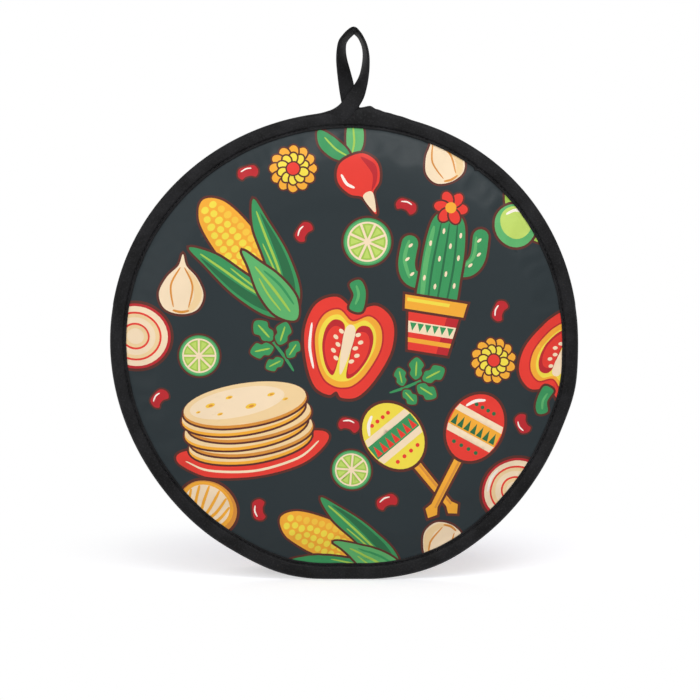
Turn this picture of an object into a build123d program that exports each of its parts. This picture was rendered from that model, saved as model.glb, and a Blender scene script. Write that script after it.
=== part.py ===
"""Tortilla warmer: a round padded cloth pouch that stands on its edge.

Two panels, each of cover, wadding and lining, lie face to face. A bias tape binds the front panel all
round and closes the rear panel in below the mouth. Above the mouth's ends the rear panel is free: it
has its own binding and folds back as a flap. The tape's tail makes a hanging loop on top.

Millimetres. +Z up, the front panel faces -Y, X runs across the pouch. The origin is on the surface
that the pouch stands on, under the middle of it.
"""

import os
from math import atan2, cos, degrees, radians, sin

from build123d import *

# The pouch's outline, over the binding
rim_radius = 149.5  # the upper arc
foot_drop = 1.0  # how far the foot lies below the circle of the upper arc
foot_width = 28.0  # the flat that the pouch stands on
side_from_deg = 110.0  # from the top, where the upper arc gives way to the flatter side arcs
side_flattening = 12.0  # by how much the side arcs' radius is the larger

# The cloth, through its thickness
lining_thickness = 0.4
cover_thickness = 0.4
wadding_pressed = 1.6  # where the seam presses it flat
wadding_loft = 6.0  # at the middle of a panel
ply_gap = 0.1  # between two layers at the middle, where nothing presses them together
pocket_half_depth = 5.0  # from the mid-plane to a lining, at the middle
shoulder_width = 14.5  # from the flat seam margin to where the cloth has its full depth

# The binding tape
tape_thickness = 0.6  # two plies, folded
binding_width = 10.5  # how far each leg covers the panel
fold_bevel = 0.8  # outside, where the tape folds over the edge
edge_clearance = 0.6  # from the inside of the fold to the panels' edges
margin_past_binding = 1.5  # flat margin that shows inside the binding

# The mouth
mouth_half_deg = 80.0  # from the top to each end of the mouth
parting = 0.2  # from the mid-plane to each of the two bindings that face each other there
fold_gap = 0.4  # between the sewn part of the rear panel and its flap

# The hanging loop, measured from the rim's top
loop_base_left = (-1.7, 4.5)
loop_waist_left = (-3.0, 17.4)
loop_belly_left = (-5.1, 34.5)
loop_shoulder_left = (-2.2, 46.6)
loop_apex = (5.1, 54.3)
loop_shoulder_right = (13.1, 44.4)
loop_belly_right = (15.8, 31.0)
loop_waist_right = (13.9, 13.0)
loop_base_right = (9.2, 4.0)
eye_bottom = (6.2, 16.4)  # the loop's opening
eye_left = (0.9, 38.0)
eye_top = (6.7, 49.7)
eye_right = (11.9, 36.0)
loop_depth = 9.0  # front to back, where the tape stands on edge
loop_stem_thickness = 2.0  # where its two ends lie on each other
loop_stem_height = 10.0
loop_spread_height = 24.0  # where the tape has turned fully on edge
loop_clearance = 0.3  # between the loop's rounded foot and the rim

# Levels of the front panel's seam margin, as depths from the mid-plane
seam_inner = parting + tape_thickness
seam_lining = seam_inner + lining_thickness
seam_wadding = seam_lining + wadding_pressed
seam_cover = seam_wadding + cover_thickness
seam_depth = seam_cover + tape_thickness

# Levels at the middle of either panel
crown_lining = pocket_half_depth + lining_thickness
crown_wadding = crown_lining + ply_gap + wadding_loft
crown_cover = crown_wadding + ply_gap + cover_thickness

# How far the rear panel's sewn margin lies in front of the flap's, since it lies on the front lining
sewn_shift = 2 * seam_inner

centre_height = rim_radius + foot_drop
rim_top = centre_height + rim_radius
panel_inset = tape_thickness + edge_clearance
margin_radius = rim_radius - binding_width - margin_past_binding
crown_radius = margin_radius - shoulder_width
reach = 2 * rim_radius  # past everything, for cutting

mouth_height = centre_height + rim_radius * cos(radians(mouth_half_deg))
stem_y = -(parting + seam_depth) / 2  # over the middle of the front binding


def half_circle_points(inset):
    """Centres, radii and joints of the arcs of the right half of the outline, drawn in by inset."""
    across, up = sin(radians(side_from_deg)), cos(radians(side_from_deg))
    side_radius = rim_radius + side_flattening
    side_centre = (-side_flattening * across, centre_height - side_flattening * up)
    foot_end = foot_width / 2
    chord = side_centre[0] - foot_end
    heel_radius = (side_radius**2 - side_centre[1] ** 2 - chord**2) / (2 * (side_radius - side_centre[1]))
    heel_centre = (foot_end, heel_radius)
    heel_deg = degrees(atan2(heel_centre[1] - side_centre[1], heel_centre[0] - side_centre[0]))
    return side_centre, side_radius - inset, heel_centre, heel_radius - inset, heel_deg


def outline(inset=0.0):
    """The pouch's slumped disc in the XZ plane, drawn in by inset all round."""
    side_centre, side_radius, heel_centre, heel_radius, heel_deg = half_circle_points(inset)
    side_deg = 90 - side_from_deg
    heel = CenterArc(heel_centre, heel_radius, -90, heel_deg + 90)
    side = CenterArc(side_centre, side_radius, heel_deg, side_deg - heel_deg)
    top = CenterArc((0, centre_height), rim_radius - inset, side_deg, 180 - 2 * side_deg)
    foot = Line((-foot_width / 2, inset), (foot_width / 2, inset))
    left = [edge.mirror(Plane.YZ) for edge in (side, heel)]
    return Plane.XZ * make_face([foot, heel, side, top, *left])


def slab(face, front, back):
    """A face in the XZ plane made solid from y = front to y = back."""
    return Pos(0, back, 0) * extrude(face, back - front)


def below(height):
    """Everything under a height."""
    return Pos(0, 0, height - reach) * Box(2 * reach, 2 * reach, 2 * reach)


def above(height):
    """Everything over a height."""
    return Pos(0, 0, height + reach) * Box(2 * reach, 2 * reach, 2 * reach)


def face_line(crown, seam):
    """Depth against radius for one face of a layer: its crown, its shoulder and the flat seam margin."""
    return [(0, crown), (crown_radius, crown), (margin_radius, seam), (reach, seam)]


def layer(inner, outer, toward):
    """One cloth layer of a panel, between two faces that are each given as (crown, seam)."""
    section = make_face(Polyline(*face_line(*inner), *reversed(face_line(*outer)), close=True))
    if toward < 0:
        section = section.mirror(Plane.XZ)
    disc = revolve(Pos(0, 0, centre_height) * section, Axis((0, 0, centre_height), (0, 1, 0)))
    return disc & slab(outline(panel_inset), -reach, reach)


def panel(toward, shift=0.0):
    """One panel's layers, by name. toward is -1 at the front, and shift moves the seam margin inwards."""
    inside_lining = (pocket_half_depth, seam_inner - shift)
    outside_lining = (crown_lining, seam_lining - shift)
    inside_wadding = (crown_lining + ply_gap, seam_lining - shift)
    outside_wadding = (crown_wadding, seam_wadding - shift)
    inside_cover = (crown_wadding + ply_gap, seam_wadding - shift)
    outside_cover = (crown_cover, seam_cover - shift)
    return {
        "lining": layer(inside_lining, outside_lining, toward),
        "wadding": layer(inside_wadding, outside_wadding, toward),
        "cover": layer(inside_cover, outside_cover, toward),
    }


def binding(front, back):
    """A tape folded over the panels' edge, from its front face to its back face, all round."""
    outside = slab(outline(), front, back)
    folds = outside.edges().group_by(Axis.Y)
    outside = chamfer(folds[0] + folds[-1], fold_bevel)
    inside = slab(outline(tape_thickness), front + tape_thickness, back - tape_thickness)
    middle = slab(outline(binding_width), -reach, reach)
    return outside - inside - middle


def rim_binding():
    """Binds both panels below the mouth's ends, and the front panel alone above them."""
    sewn = binding(-seam_depth, seam_depth - sewn_shift) & below(mouth_height)
    front_edge = binding(-seam_depth, -parting) & above(mouth_height)
    return sewn + front_edge


def mouth_binding():
    """Binds the flap's free edge."""
    return binding(parting, seam_depth) & above(mouth_height + fold_gap)


def hanging_loop():
    """The tape's tail: flat on itself at the rim, then on edge round the eye."""
    foot_radius = loop_stem_thickness / 2
    foot_height = loop_clearance + foot_radius
    front_view = make_face(
        [
            Line(loop_base_left, loop_waist_left),
            ThreePointArc(loop_waist_left, loop_belly_left, loop_shoulder_left),
            ThreePointArc(loop_shoulder_left, loop_apex, loop_shoulder_right),
            ThreePointArc(loop_shoulder_right, loop_belly_right, loop_waist_right),
            Line(loop_waist_right, loop_base_right),
            Polyline(loop_base_right, (loop_base_right[0], 0), (loop_base_left[0], 0), loop_base_left),
        ]
    )
    eye = make_face(
        [
            ThreePointArc(eye_bottom, eye_left, eye_top),
            ThreePointArc(eye_top, eye_right, eye_bottom),
        ]
    )
    half_stem, half_depth = loop_stem_thickness / 2, loop_depth / 2
    loop_top = loop_apex[1] + 1
    side_view = make_face(
        [
            Line((-half_stem, loop_stem_height), (-half_stem, foot_height)),
            ThreePointArc((-half_stem, foot_height), (0, loop_clearance), (half_stem, foot_height)),
            Line((half_stem, foot_height), (half_stem, loop_stem_height)),
            Polyline(
                (half_stem, loop_stem_height),
                (half_depth, loop_spread_height),
                (half_depth, loop_top),
                (-half_depth, loop_top),
                (-half_depth, loop_spread_height),
                (-half_stem, loop_stem_height),
            ),
        ]
    )
    across = slab(Plane.XZ * (front_view - eye), -loop_depth, loop_depth)
    along = extrude(Plane.YZ * side_view, reach, both=True)
    return Pos(0, stem_y, rim_top) * (across & along)


def pouch():
    """Every piece of the pouch, by name."""
    front = panel(-1)
    sewn_rear = panel(1, sewn_shift)
    free_rear = panel(1)
    pieces = {f"front_{name}": shape for name, shape in front.items()}
    for name, shape in sewn_rear.items():
        pieces[f"rear_{name}"] = shape & below(mouth_height)
    for name, shape in free_rear.items():
        pieces[f"flap_{name}"] = shape & above(mouth_height + fold_gap)
    pieces["rim_binding"] = rim_binding()
    pieces["mouth_binding"] = mouth_binding()
    pieces["hanging_loop"] = hanging_loop()
    return pieces


os.makedirs("parts", exist_ok=True)
for piece_name, piece in pouch().items():
    export_step(piece, f"parts/{piece_name}.step")
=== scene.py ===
"""Tortilla warmer: the looks of a round padded cloth pouch with a printed front and back.

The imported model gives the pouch's place, its overall sizes and its layers' depths. Each cloth layer and
tape is modelled here over its node, and the thread is added: the layers are eased by a cloth simulation,
and the tapes are spun round the rim.

Metres. +Z up, the front faces -Y. Cloth is worked out on a round pouch first, and slumped() then gives
it the outline of one that stands on its edge.
"""

from functools import lru_cache
from itertools import accumulate, pairwise
from math import acos, atan2, ceil, cos, dist, exp, hypot, pi, radians, sin, sqrt
from random import Random

import bmesh
import bpy
from mathutils import Matrix, Vector, noise
from mathutils.bvhtree import BVHTree
from mathutils.geometry import barycentric_transform, delaunay_2d_cdt


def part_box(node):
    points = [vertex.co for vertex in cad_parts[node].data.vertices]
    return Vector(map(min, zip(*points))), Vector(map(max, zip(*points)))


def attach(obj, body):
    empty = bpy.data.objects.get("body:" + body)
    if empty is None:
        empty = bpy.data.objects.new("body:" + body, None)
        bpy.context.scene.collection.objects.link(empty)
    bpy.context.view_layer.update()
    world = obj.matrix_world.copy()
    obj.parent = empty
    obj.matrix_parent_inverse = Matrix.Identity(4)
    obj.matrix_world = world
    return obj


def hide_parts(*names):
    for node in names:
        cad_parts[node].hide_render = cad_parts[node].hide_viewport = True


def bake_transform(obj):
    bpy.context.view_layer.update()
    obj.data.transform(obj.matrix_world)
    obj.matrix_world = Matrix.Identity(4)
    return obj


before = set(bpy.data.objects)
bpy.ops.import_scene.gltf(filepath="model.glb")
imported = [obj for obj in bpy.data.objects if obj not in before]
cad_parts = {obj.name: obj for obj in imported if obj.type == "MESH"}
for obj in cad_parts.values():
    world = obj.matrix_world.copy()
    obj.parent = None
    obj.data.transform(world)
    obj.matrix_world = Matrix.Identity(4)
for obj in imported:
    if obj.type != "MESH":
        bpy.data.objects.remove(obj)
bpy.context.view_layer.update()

MM = 0.001

# ---------------------------------------------------------------- sizes of the pouch

rim_low, rim_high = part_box("rim_binding")
mouth_low, mouth_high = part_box("mouth_binding")
rim_radius = (rim_high.x - rim_low.x) / 2
centre = Vector((0, 0, rim_high.z - rim_radius))
foot_width = 28 * MM
side_from = radians(110)  # from the top, where the upper arc gives way to the side arcs
side_flattening = 12 * MM  # by how much the side arcs' radius is the larger
rim_waver = (0.7, -0.75)  # how far the sewn rim wavers, three times round: sine and cosine, mm
waver_fade = (radians(150), radians(172))  # where that dies away, since the foot is flat
rim_bumps = ((-155, 9, -1.3), (101, 7, 1.2))  # middle and half width in degrees from the top, height in mm

binding_width = 10.5 * MM
tape_thickness = 0.6 * MM
cloth_thickness = 0.4 * MM
inner_edge = rim_radius - binding_width  # the tapes' edge on the panels
stitch_row = inner_edge + 1.75 * MM
margin_radius = rim_radius - binding_width - 1.5 * MM  # inside this the wadding swells
cloth_radius = rim_radius - 1.4 * MM  # the cut edge of every layer, inside the tape's fold
tuck = radians(5)  # how far past the mouth's ends the rim binding is lifted over the mouth binding
mouth_tuck = tuck * 0.7  # how far the mouth binding's ends run on under it
caught_angle = radians(36.5)  # where a little spare cloth was caught in the seam

front_tape, back_tape = rim_low.y, rim_high.y  # the depths of the bindings' faces
mouth_front, mouth_back = mouth_low.y, mouth_high.y
seam_gap = -0.2 * MM  # back of the front panel's own binding, above the mouth
mouth_height = mouth_low.z
mouth_angle = acos((mouth_height - centre.z) / rim_radius)

crown_cover = -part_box("front_cover")[0].y  # the layers' outer faces at the middle, from the mid-plane
crown_wadding = -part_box("front_wadding")[0].y
crown_lining = -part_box("front_lining")[0].y
pocket_depth = crown_lining - cloth_thickness
ply_gap = 0.1 * MM  # between lining and wadding, where nothing presses them together
seam_inner = 0.8 * MM  # at the seam: the lining's inner face, and then each layer's outer one
seam_lining = seam_inner + cloth_thickness
seam_cover = -front_tape - tape_thickness
seam_wadding = seam_cover - cloth_thickness
sewn_shift = 2 * seam_inner  # the rear panel lies this much nearer where it is sewn to the front
sewn_ramp = (mouth_height - 12.5 * MM, mouth_height - 2 * MM)  # heights between which it comes away
wadding_slack = 0.6 * MM  # the wadding bridges the cover's small creases, so it lies a little under them


def reach(angle):
    """Distance from the pouch's centre to its outline, at an angle from the top."""
    angle = abs(angle)
    way = Vector((sin(angle), cos(angle)))
    if angle <= side_from:
        return rim_radius
    side = Vector((-sin(side_from), -cos(side_from))) * side_flattening
    side_radius = rim_radius + side_flattening
    foot_end = foot_width / 2
    side_high = side.y + centre.z
    chord = side.x - foot_end
    heel_radius = (side_radius**2 - side_high**2 - chord**2) / (2 * (side_radius - side_high))
    heel = Vector((foot_end, heel_radius - centre.z))
    heel_join = side + (heel - side).normalized() * side_radius
    if angle <= atan2(heel_join.x, heel_join.y):
        return way.dot(side) + sqrt(way.dot(side) ** 2 - side.length_squared + side_radius**2)
    if angle <= pi - atan2(foot_end, centre.z):
        return way.dot(heel) + sqrt(way.dot(heel) ** 2 - heel.length_squared + heel_radius**2)
    return -centre.z / cos(angle)


def unevenness(angle):
    """How far the sewn outline strays from its arcs: a slow waver and two small bumps."""
    waver = rim_waver[0] * sin(3 * angle) + rim_waver[1] * cos(3 * angle)
    stray = waver * (1 - ramp(abs(angle), *waver_fade))
    for middle, width, height in rim_bumps:
        stray += height * exp(-(((angle - radians(middle)) / radians(width)) ** 2))
    return stray * MM


def slumped(x, y, z):
    """A place on the round pouch, measured from its centre, as a point of the standing one."""
    radius = hypot(x, z)
    if radius == 0:
        return centre + Vector((0, y, 0))
    angle = atan2(x, z)
    pull = (reach(angle) + unevenness(angle) - rim_radius) * (radius / rim_radius) ** 2
    return centre + Vector((x * (1 + pull / radius), y, z * (1 + pull / radius)))


def ramp(value, start, end):
    """0 before start, 1 after end, and smooth between them."""
    share = min(max((value - start) / (end - start), 0), 1)
    return share * share * (3 - 2 * share)


def between(before, start, end, after, share):
    """A point part of the way from start to end, on a smooth line that passes before and after too."""
    square = (before * 2 - start * 5 + end * 4 - after) * share**2
    cube = ((start - end) * 3 + after - before) * share**3
    return start + (end - before) * share / 2 + (square + cube) / 2


def loft(radius):
    """Share of a panel's full depth that it has at a radius: it swells at the seam, then domes."""
    share = min(radius / margin_radius, 1)
    dome, swell = 1 - share**2.4, 1 - share**13
    return 0.5 * dome + 0.5 * swell


def rear_seam(height):
    """How far the rear panel's seam margin lies forward: sewn below the mouth's ends, free above."""
    return sewn_shift * (1 - ramp(height, *sewn_ramp))


# ---------------------------------------------------------------- colours and materials

INKS = {
    "ground": "#1d282c",
    "outline": "#57261d",
    "red": "#e93a2e",
    "deep red": "#bd2229",
    "green": "#379458",
    "deep green": "#23683f",
    "leaf": "#5db26a",
    "lime": "#a4c94e",
    "pulp": "#c3dc6a",
    "olive": "#8aa652",
    "yellow": "#f5df48",
    "gold": "#f8c840",
    "amber": "#f7ae34",
    "toast": "#dd9238",
    "dough": "#f6d6a0",
    "cream": "#fae2be",
    "white": "#fff5e8",
}


def linear(hexadecimal):
    """A #rrggbb sRGB colour as linear RGBA."""
    parts = [int(hexadecimal[i : i + 2], 16) / 255 for i in (1, 3, 5)]
    return [c / 12.92 if c <= 0.04045 else ((c + 0.055) / 1.055) ** 2.4 for c in parts] + [1.0]


def socket(sockets, key):
    """The socket in use with a name, or by number."""
    return sockets[key] if isinstance(key, int) else next(s for s in sockets if s.name == key and s.enabled)


def feed(made, **links):
    """Links a node's inputs to other nodes, or to single outputs of them."""
    for name, source in links.items():
        if isinstance(source, bpy.types.Node):
            source = next(s for s in source.outputs if s.enabled)
        made.id_data.links.new(source, socket(made.inputs, name.replace("_", " ")))


def node(tree, kind, settings=None, **links):
    """Adds a node. settings go to its attributes or sockets, and links feed its inputs."""
    made = tree.nodes.new(kind)
    for name, value in (settings or {}).items():
        if isinstance(name, str) and hasattr(made, name):
            setattr(made, name, value)
        else:
            socket(made.inputs, name).default_value = value
    feed(made, **links)
    return made


def new_material(name):
    """A material with only a surface shader, and its tree and shader."""
    material = bpy.data.materials.new(name)
    material.use_nodes = True
    return material, material.node_tree, material.node_tree.nodes["Principled BSDF"]


def set_shader(shader, **values):
    """Sets the shader's own sockets."""
    for name, value in values.items():
        shader.inputs[name.replace("_", " ")].default_value = value


def cells(size):
    """The Scale at which a texture's cells are this large."""
    return 1 / size


def bands(spacing):
    """The Scale at which a Wave texture's bands are this far apart."""
    return 2 * pi / (20 * spacing)


def two_tints(dark, light):
    """Settings of a Mix node that goes from one colour to another."""
    return {"data_type": "RGBA", "A": linear(dark), "B": linear(light)}


def printed_polyester():
    """Woven polyester, calendered and transfer printed: a smooth cloth with a soft satin shine.

    The threads are 0.35 mm apart, and drawn 1.1 mm apart so that they show.
    """
    material, tree, shader = new_material("calendered printed polyester")
    ink = node(tree, "ShaderNodeVertexColor", {"layer_name": "ink"})
    place = node(tree, "ShaderNodeTexCoord").outputs["Object"]
    cloud = node(tree, "ShaderNodeTexNoise", {"Scale": cells(36 * MM), "Detail": 3.0}, Vector=place)
    uneven = node(tree, "ShaderNodeMapRange", {"To Min": 0.9, "To Max": 1.1}, Value=cloud.outputs["Fac"])
    shade = node(tree, "ShaderNodeHueSaturation", None, Color=ink, Value=uneven)
    weave = node(tree, "ShaderNodeMath", {"operation": "MULTIPLY"})
    for number, way in enumerate(("X", "Z")):
        threads = {"bands_direction": way, "Scale": bands(1.1 * MM), "Distortion": 0.6, "Detail": 1.0}
        wave = node(tree, "ShaderNodeTexWave", threads, Vector=place)
        tree.links.new(wave.outputs["Fac"], weave.inputs[number])
    crumple = {"Scale": cells(11 * MM), "Detail": 4.0, "Roughness": 0.6}
    creases = node(tree, "ShaderNodeTexNoise", crumple, Vector=place).outputs["Fac"]
    relief = node(tree, "ShaderNodeBump", {"Strength": 0.1, "Distance": 0.1 * MM}, Height=weave)
    creased = {"Strength": 0.25, "Distance": 0.5 * MM}
    soft = node(tree, "ShaderNodeBump", creased, Height=creases, Normal=relief)
    gloss = node(tree, "ShaderNodeMapRange", {"To Min": 0.4, "To Max": 0.55}, Value=creases)
    feed(shader, Base_Color=shade, Roughness=gloss, Normal=soft)
    set_shader(shader, Sheen_Weight=0.06, Sheen_Roughness=0.4, Specular_IOR_Level=0.28)
    return material


def bias_tape():
    """Bias-cut polyester-cotton tape: matt charcoal with slanting ribs, flecks of lint and a dusty sheen.

    The ribs are 0.5 mm apart and the lint is finer still. They are drawn 1.2 and 1.1 mm apart so that
    they show.
    """
    material, tree, shader = new_material("bias-cut polyester cotton tape")
    along = node(tree, "ShaderNodeUVMap", {"uv_map": "tape"})
    lint = node(tree, "ShaderNodeTexNoise", {"Scale": cells(1.1 * MM), "Detail": 2.0}, Vector=along)
    slub = node(tree, "ShaderNodeTexNoise", {"Scale": cells(17 * MM), "Detail": 4.0}, Vector=along)
    slanted = node(tree, "ShaderNodeMapping", {"Rotation": (0, 0, radians(38))}, Vector=along)
    ribbing = {"bands_direction": "X", "Scale": bands(1.2 * MM), "Distortion": 1.5, "Detail": 2.0}
    ribs = node(tree, "ShaderNodeTexWave", ribbing, Vector=slanted).outputs["Fac"]
    worn = node(tree, "ShaderNodeMapRange", {"From Min": 0.36, "From Max": 0.66}, Value=slub.outputs["Fac"])
    dyed = node(tree, "ShaderNodeMix", two_tints("#060607", "#1b1b1d"), Factor=worn)
    lit_lint = {"From Min": 0.5, "From Max": 0.72, "To Max": 0.4}
    fleck = node(tree, "ShaderNodeMapRange", lit_lint, Value=lint.outputs["Fac"])
    pale = {"data_type": "RGBA", "B": linear("#323234")}
    flecked = node(tree, "ShaderNodeMix", pale, Factor=fleck, A=dyed)
    relief = node(tree, "ShaderNodeBump", {"Strength": 0.2, "Distance": 0.15 * MM}, Height=ribs)
    fluffy = {"Strength": 0.5, "Distance": 0.22 * MM}
    fuzz = node(tree, "ShaderNodeBump", fluffy, Height=lint.outputs["Fac"], Normal=relief)
    feed(shader, Base_Color=flecked, Normal=fuzz)
    set_shader(shader, Roughness=0.58, Specular_IOR_Level=0.15)
    set_shader(shader, Sheen_Weight=0.07, Sheen_Roughness=0.35, Sheen_Tint=linear("#c8c8cc"))
    return material


def sewing_thread():
    """Spun polyester thread: near black, with the twist of its plies, drawn 0.7 mm apart so that it shows."""
    material, tree, shader = new_material("spun polyester thread")
    place = node(tree, "ShaderNodeTexCoord").outputs["Object"]
    twisted = {"Scale": cells(0.7 * MM), "Detail": 1.0}
    plies = node(tree, "ShaderNodeTexNoise", twisted, Vector=place).outputs["Fac"]
    tint = node(tree, "ShaderNodeMix", two_tints("#0e0e10", "#2c2c30"), Factor=plies)
    twist = node(tree, "ShaderNodeBump", {"Strength": 0.4, "Distance": 0.05 * MM}, Height=plies)
    feed(shader, Base_Color=tint, Normal=twist)
    set_shader(shader, Roughness=0.55, Specular_IOR_Level=0.4)
    return material


def lining_polyester():
    """Plain woven polyester lining: off-white, thin and slightly creased, with a faint weave.

    The threads are 0.3 mm apart, and drawn 1 mm apart so that they show.
    """
    material, tree, shader = new_material("plain woven polyester lining")
    place = node(tree, "ShaderNodeTexCoord").outputs["Object"]
    stain = node(tree, "ShaderNodeTexNoise", {"Scale": cells(60 * MM), "Detail": 5.0}, Vector=place)
    tint = node(tree, "ShaderNodeMix", two_tints("#d8d0c2", "#e9e3d8"), Factor=stain.outputs["Fac"])
    crumple = {"Scale": cells(22 * MM), "Detail": 5.0, "Roughness": 0.55}
    creases = node(tree, "ShaderNodeTexNoise", crumple, Vector=place).outputs["Fac"]
    threads = node(tree, "ShaderNodeTexChecker", {"Scale": cells(1 * MM)}, Vector=place).outputs["Fac"]
    weave = node(tree, "ShaderNodeBump", {"Strength": 0.15, "Distance": 0.08 * MM}, Height=threads)
    creased = {"Strength": 0.5, "Distance": 0.9 * MM}
    soft = node(tree, "ShaderNodeBump", creased, Height=creases, Normal=weave)
    feed(shader, Base_Color=tint, Normal=soft)
    set_shader(shader, Roughness=0.6, Sheen_Weight=0.15, Specular_IOR_Level=0.35)
    return material


def needled_wadding():
    """Needle-punched polyester wadding: white matt fibres with needle dimples 4 mm apart.

    The fibres are far too fine to show, and are drawn as tufts of 2.5 mm.
    """
    material, tree, shader = new_material("needled polyester wadding")
    place = node(tree, "ShaderNodeTexCoord").outputs["Object"]
    tufts = {"Scale": cells(2.5 * MM), "Detail": 6.0, "Roughness": 0.7}
    fibres = node(tree, "ShaderNodeTexNoise", tufts, Vector=place).outputs["Fac"]
    tint = node(tree, "ShaderNodeMix", two_tints("#d2d2cc", "#f4f4f0"), Factor=fibres)
    dimples = node(tree, "ShaderNodeTexVoronoi", {"Scale": cells(4 * MM)}, Vector=place)
    dented = {"Strength": 0.6, "Distance": 0.6 * MM}
    dents = node(tree, "ShaderNodeBump", dented, Height=dimples.outputs["Distance"])
    fluffy = {"Strength": 0.6, "Distance": 0.3 * MM}
    loose = node(tree, "ShaderNodeBump", fluffy, Height=fibres, Normal=dents)
    feed(shader, Base_Color=tint, Normal=loose)
    set_shader(shader, Roughness=0.95, Sheen_Weight=0.3, Specular_IOR_Level=0.2)
    return material


cover_cloth = printed_polyester()
tape = bias_tape()
thread = sewing_thread()
lining_cloth = lining_polyester()
wadding_felt = needled_wadding()

# ---------------------------------------------------------------- meshes


def add_piece(name, shape, material):
    """Puts a finished mesh or bmesh into the scene as a piece."""
    mesh = shape
    if isinstance(shape, bmesh.types.BMesh):
        mesh = bpy.data.meshes.new(name)
        shape.to_mesh(mesh)
        shape.free()
    mesh.shade_smooth()
    mesh.materials.append(material)
    piece = bpy.data.objects.new(name, mesh)
    bpy.context.scene.collection.objects.link(piece)
    return piece


def staggered(radius, grain, gap):
    """Places in staggered rows, a grain apart, over a disc but for a gap at its edge."""
    rise = grain * sqrt(0.75)
    rows = ceil(radius / rise)
    both = range(-rows, rows + 1)
    spots = [Vector(((i + 0.5 * (j % 2)) * grain, j * rise)) for j in both for i in both]
    return [spot for spot in spots if spot.length < radius - gap]


def ring_of(radius, count):
    """Places round a circle, anticlockwise from its top."""
    turns = [2 * pi * k / count for k in range(count)]
    return [Vector((-sin(t), cos(t))) * radius for t in turns]


def eased_cloth():
    """Simulates a panel's cloth, cut a little too large for its seam, and gives what it does at any place.

    The result takes a place on the flat panel and gives the cloth's shift there from its smooth dome.
    """
    grain = 3 * MM
    closest = 1e-7  # points nearer to each other than this are made one
    excess = 0.007  # the cloth is this share larger than the seam that it is sewn to
    most_shift = 1.6 * MM
    scale = 10  # the solver is at ease with a pouch of a metre or so
    frames = 16
    spots = staggered(margin_radius, grain, grain / 3)
    seam = ring_of(margin_radius, int(2 * pi * margin_radius / grain))
    outline = list(range(len(spots), len(spots) + len(seam)))
    flat, _, triangles, *_ = delaunay_2d_cdt(spots + seam, [], [outline], 1, closest, False)
    depth = crown_cover - seam_cover
    domed = [Vector((s.x, -depth * loft(s.length), s.y)) for s in flat]
    mesh = bpy.data.meshes.new("panel blank")
    mesh.from_pydata([p * scale for p in domed], [], triangles)
    blank = bpy.data.objects.new("panel blank", mesh)
    bpy.context.scene.collection.objects.link(blank)
    pinned = blank.vertex_groups.new(name="seam")
    pinned.add([i for i, s in enumerate(flat) if s.length > margin_radius - grain / 6], 1, "REPLACE")
    cloth = blank.modifiers.new("cloth", "CLOTH")
    cloth.settings.quality = 6
    cloth.settings.mass = 0.2
    cloth.settings.tension_stiffness = cloth.settings.compression_stiffness = 15
    cloth.settings.bending_stiffness = 0.08
    cloth.settings.vertex_group_mass = pinned.name
    cloth.settings.shrink_min = -excess
    cloth.settings.effector_weights.gravity = 0
    cloth.collision_settings.use_collision = False
    cloth.collision_settings.use_self_collision = False
    cloth.point_cache.frame_end = frames + 1
    for step in range(1, frames + 1):
        bpy.context.scene.frame_set(step)
    held = blank.evaluated_get(bpy.context.evaluated_depsgraph_get())
    settled = [v.co / scale for v in held.data.vertices]
    bpy.data.objects.remove(blank)
    bpy.context.scene.frame_set(1)
    shifts = []
    for before, after in zip(domed, settled):
        shift = after - before
        shifts.append(shift * min(1, most_shift / max(shift.length, 1e-9)))
    places = [s.to_3d() for s in flat]
    tree = BVHTree.FromPolygons(places, triangles)

    def shift_at(x, z):
        found, _, index, _ = tree.find_nearest(Vector((x, z, 0)))
        corners = triangles[index]
        return barycentric_transform(found, *(places[i] for i in corners), *(shifts[i] for i in corners))

    return shift_at


# ---------------------------------------------------------------- drawing the print
#
# Millimetres. A blot is an ink with its outline as a list of points, and later blots cover earlier ones.


def oval(x, y, wide, high=None, turn=0, count=28):
    """An oval outline by its half sizes."""
    high = wide if high is None else high
    c, s = cos(radians(turn)), sin(radians(turn))
    steps = [2 * pi * k / count for k in range(count)]
    level = [(wide * cos(t), high * sin(t)) for t in steps]
    return [(x + px * c - py * s, y + px * s + py * c) for px, py in level]


def strip(low, high, low_half, high_half):
    """The outline of a level strip between two heights, by half its width at each."""
    return [(-low_half, low), (low_half, low), (high_half, high), (-high_half, high)]


def curve(points, closed=True):
    """A smooth line through points."""
    per = 6
    spots = [Vector(p) for p in points]
    count = len(spots)
    line = []
    for i in range(count if closed else count - 1):
        near = [(i + k) % count if closed else min(max(i + k, 0), count - 1) for k in (-1, 0, 1, 2)]
        line += [tuple(between(*(spots[n] for n in near), k / per)) for k in range(per)]
    if not closed:
        line.append(tuple(spots[-1]))
    return line


def even(half):
    """A smooth closed outline that is the same on both sides, from the points of its right half."""
    return curve([*half, *((-x, y) for x, y in reversed(half) if x)])


def stroke_sides(points, half_width):
    """A smooth line through points, and both sides of a stroke along it. half_width takes a share of it."""
    line = [Vector(p) for p in curve(points, closed=False)]
    last = len(line) - 1
    left, right = [], []
    for i, spot in enumerate(line):
        ahead = line[min(i + 1, last)] - line[max(i - 1, 0)]
        side = Vector((-ahead.y, ahead.x)).normalized() * half_width(i / last)
        left.append(tuple(spot + side))
        right.append(tuple(spot - side))
    return line, right, left[::-1]


def stroke(ink, points, width, taper=0.35):
    """A brush stroke along a smooth line, thinner at its ends, where it is taper of its width."""
    _, right, left = stroke_sides(points, lambda t: width / 2 * (taper + (1 - taper) * sin(pi * t) ** 0.5))
    return ink, right + left


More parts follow.
